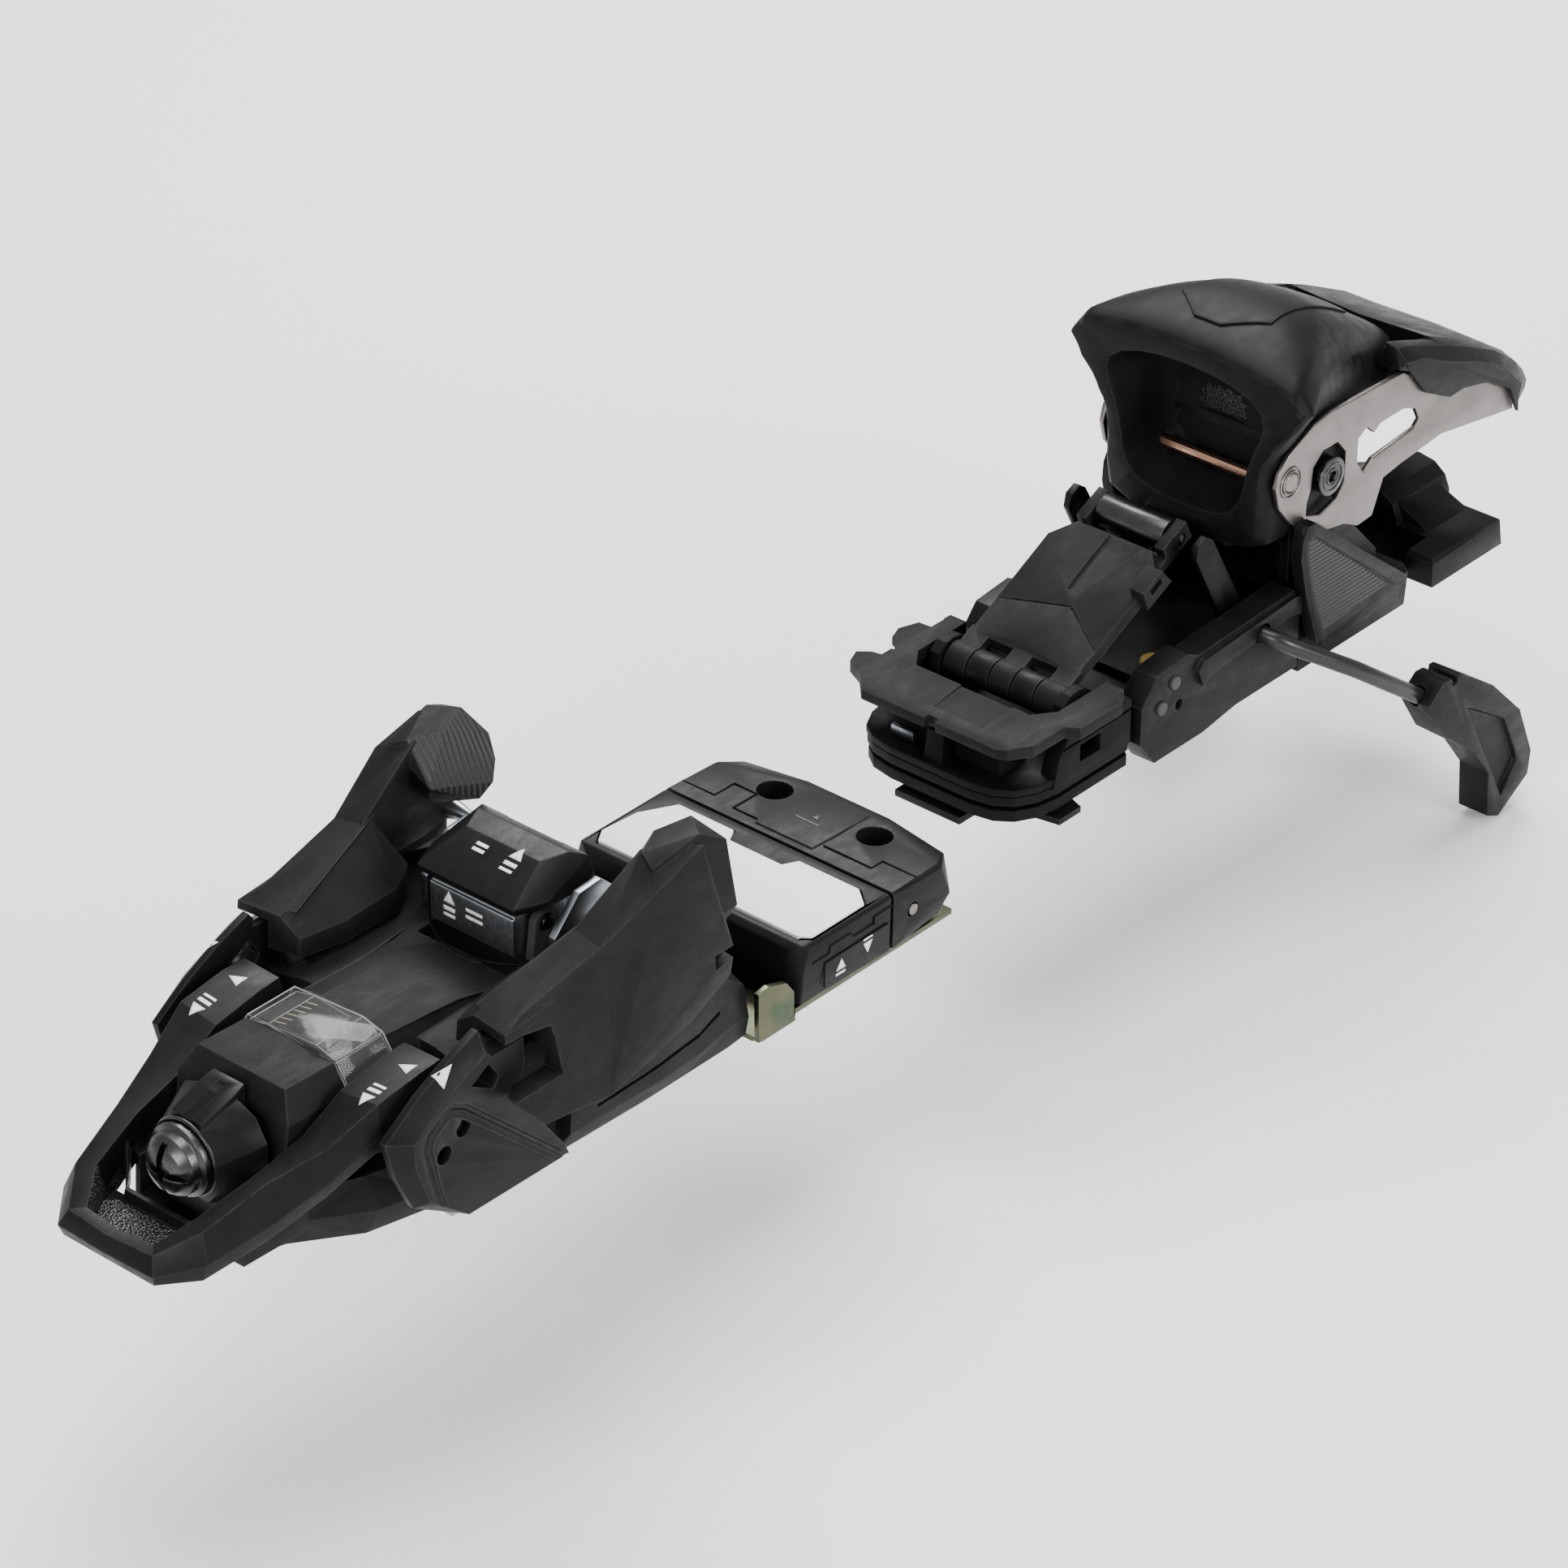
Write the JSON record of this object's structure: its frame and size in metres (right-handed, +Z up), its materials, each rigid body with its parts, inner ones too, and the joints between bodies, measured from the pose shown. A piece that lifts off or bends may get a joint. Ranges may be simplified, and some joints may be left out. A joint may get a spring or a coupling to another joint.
{
  "type": "touring ski binding",
  "caption": "Ski touring binding with a winged toe piece and sliding boot rest, and a stepped heel cup with lever, climbing aid and ski brake.",
  "frame": {"origin": "on the ski's top face, under the toe piece, on the centre line at the boot toe's stop", "axes": "+Y from the toe tip towards the heel, +X to the side, +Z up out of the ski"},
  "size_m": [0.1088, 0.475, 0.1494],
  "materials": {
    "black_plastic": "satin black moulded nylon with a fine grain",
    "matte_plastic": "matte black fibre-filled plastic, coarse grain",
    "gloss_plastic": "gloss black plastic",
    "clear_window": "clear moulded window",
    "zinc_steel": "zinc-plated steel, slightly blue",
    "satin_steel": "satin stamped steel, warm grey",
    "dark_steel": "blackened steel",
    "brass_steel": "yellow-passivated steel",
    "copper": "copper-plated rod",
    "white_pad": "white low-friction pad",
    "amber_rubber": "amber rubber",
    "black_wire": "black coated spring-steel wire"
  },
  "bodies": {
    "root": {"toe_base_plate": "zinc_steel", "toe_body": "matte_plastic", "toe_collar": "matte_plastic", "toe_nose_cone": "gloss_plastic", "toe_spring": "dark_steel", "din_window": "clear_window", "side_cover_left": "black_plastic", "side_cover_right": "black_plastic", "lever_pin_left": "dark_steel", "lever_pin_right": "dark_steel", "wing_pin_left": "zinc_steel", "wing_pin_right": "zinc_steel", "pin_bracket_left": "zinc_steel", "pin_bracket_right": "zinc_steel", "mode_pin": "dark_steel", "mode_cheek_left": "zinc_steel", "mode_cheek_right": "zinc_steel", "afd_tray": "brass_steel", "afd_hinge_pin": "satin_steel", "toe_mounting_screw_left": "dark_steel", "toe_mounting_screw_right": "dark_steel", "heel_track": "black_plastic"},
    "entry_lever": {"toe_lever": "black_plastic"},
    "din_screw": {"toe_din_screw": "dark_steel"},
    "din_nut": {"toe_din_indicator": "gloss_plastic"},
    "left_wing": {"wing_left": "matte_plastic", "touring_pin_left": "zinc_steel"},
    "right_wing": {"wing_right": "matte_plastic", "touring_pin_right": "zinc_steel"},
    "mode_switch": {"mode_block": "zinc_steel", "mode_cap": "gloss_plastic"},
    "boot_rest": {"afd_front": "black_plastic", "afd_pad": "white_pad", "afd_rear": "black_plastic"},
    "adjust_screw": {"heel_adjust_screw": "brass_steel"},
    "heel_unit": {"heel_carriage": "black_plastic", "brake_housing": "black_plastic", "heel_front_base": "black_plastic", "pedal_hinge_pin": "zinc_steel", "brake_bumper": "amber_rubber", "heel_tower": "black_plastic", "heel_main_axle": "dark_steel"},
    "mode_slider": {"walk_slider": "matte_plastic"},
    "pedal": {"brake_pedal": "black_plastic", "pedal_roller": "dark_steel"},
    "riser": {"climbing_aid": "matte_plastic"},
    "brake_arms": {"brake_crank_left": "dark_steel", "brake_crank_right": "dark_steel", "brake_wire_left": "black_wire", "brake_wire_right": "black_wire", "brake_foot_left": "black_plastic", "brake_foot_right": "black_plastic"},
    "cup": {"heel_cup": "black_plastic", "cup_rod": "copper", "lever_rivet_left": "zinc_steel", "lever_rivet_right": "zinc_steel"},
    "release_screw": {"heel_din_screw": "zinc_steel"},
    "step_out_lever": {"lever_plate_left": "satin_steel", "lever_plate_right": "satin_steel", "lever_grip": "black_plastic"}
  },
  "joints": [
    {"name": "heel_length_slide", "type": "slide", "parent": "root", "child": "heel_unit", "axis": [0, 1, 0], "range_m": [-0.01, 0.006]},
    {"name": "din_nut_slide", "type": "slide", "parent": "root", "child": "din_nut", "axis": [0, 1, 0], "range_m": [-0.004, 0.004]},
    {"name": "toe_lever_hinge", "type": "hinge", "parent": "root", "child": "entry_lever", "pos_m": [0, -0.063, 0.0303], "axis": [-1, 0, 0], "range_deg": [-12, 20]},
    {"name": "wing_left_hinge", "type": "hinge", "parent": "root", "child": "left_wing", "pos_m": [-0.0285, -0.046, 0.04], "axis": [0, 0, 1], "range_deg": [0, 12], "stiffness_Nm_per_rad": 4},
    {"name": "wing_right_hinge", "type": "hinge", "parent": "root", "child": "right_wing", "pos_m": [0.0285, -0.046, 0.04], "axis": [0, 0, -1], "range_deg": [0, 12], "stiffness_Nm_per_rad": 4},
    {"name": "mode_switch_hinge", "type": "hinge", "parent": "root", "child": "mode_switch", "pos_m": [0, -0.012, 0.047], "axis": [-1, 0, 0], "range_deg": [0, 18]},
    {"name": "boot_rest_hinge", "type": "hinge", "parent": "root", "child": "boot_rest", "pos_m": [0, 0.088, 0.0098], "axis": [-1, 0, 0], "range_deg": [0, 4]},
    {"name": "din_screw_turn", "type": "hinge", "parent": "root", "child": "din_screw", "pos_m": [0, 0, 0.0286], "axis": [0, 1, 0], "range_deg": [-730, 730]},
    {"name": "adjust_screw_turn", "type": "hinge", "parent": "root", "child": "adjust_screw", "pos_m": [0, 0, 0.008], "axis": [0, 1, 0], "range_deg": [-910, 550]},
    {"name": "mode_slider_slide", "type": "slide", "parent": "heel_unit", "child": "mode_slider", "axis": [0, 1, 0], "range_m": [-0.006, 0.003]},
    {"name": "brake_pedal_hinge", "type": "hinge", "parent": "heel_unit", "child": "pedal", "pos_m": [0, 0.165, 0.022], "axis": [-1, 0, 0], "range_deg": [0, 20], "stiffness_Nm_per_rad": 1.6, "springref_deg": -20.05},
    {"name": "climbing_aid_hinge", "type": "hinge", "parent": "pedal", "child": "riser", "pos_m": [0, 0.165, 0.022], "axis": [1, 0, 0], "range_deg": [0, 100]},
    {"name": "brake_arm_hinge", "type": "hinge", "parent": "heel_unit", "child": "brake_arms", "pos_m": [0, 0.226, 0.0194], "axis": [1, 0, 0], "range_deg": [0, 51]},
    {"name": "heel_cup_hinge", "type": "hinge", "parent": "heel_unit", "child": "cup", "pos_m": [0, 0.2525, 0.0516], "axis": [-1, 0, 0], "range_deg": [0, 26]},
    {"name": "step_out_lever_hinge", "type": "hinge", "parent": "cup", "child": "step_out_lever", "pos_m": [0, 0.237, 0.056], "axis": [1, 0, 0], "range_deg": [0, 13.2]},
    {"name": "release_screw_turn", "type": "hinge", "parent": "cup", "child": "release_screw", "pos_m": [0, 0, 0.0636], "axis": [0, 1, 0], "range_deg": [0, 360]}
  ],
  "couplings": [
    {"joint": "din_screw_turn", "follows": "din_nut_slide", "rad_per_m": 3141.6},
    {"joint": "adjust_screw_turn", "follows": "heel_length_slide", "rad_per_m": 1570.8},
    {"joint": "brake_arm_hinge", "follows": "brake_pedal_hinge", "ratio": 2.5},
    {"joint": "step_out_lever_hinge", "follows": "heel_cup_hinge", "ratio": 0.5}
  ]
}
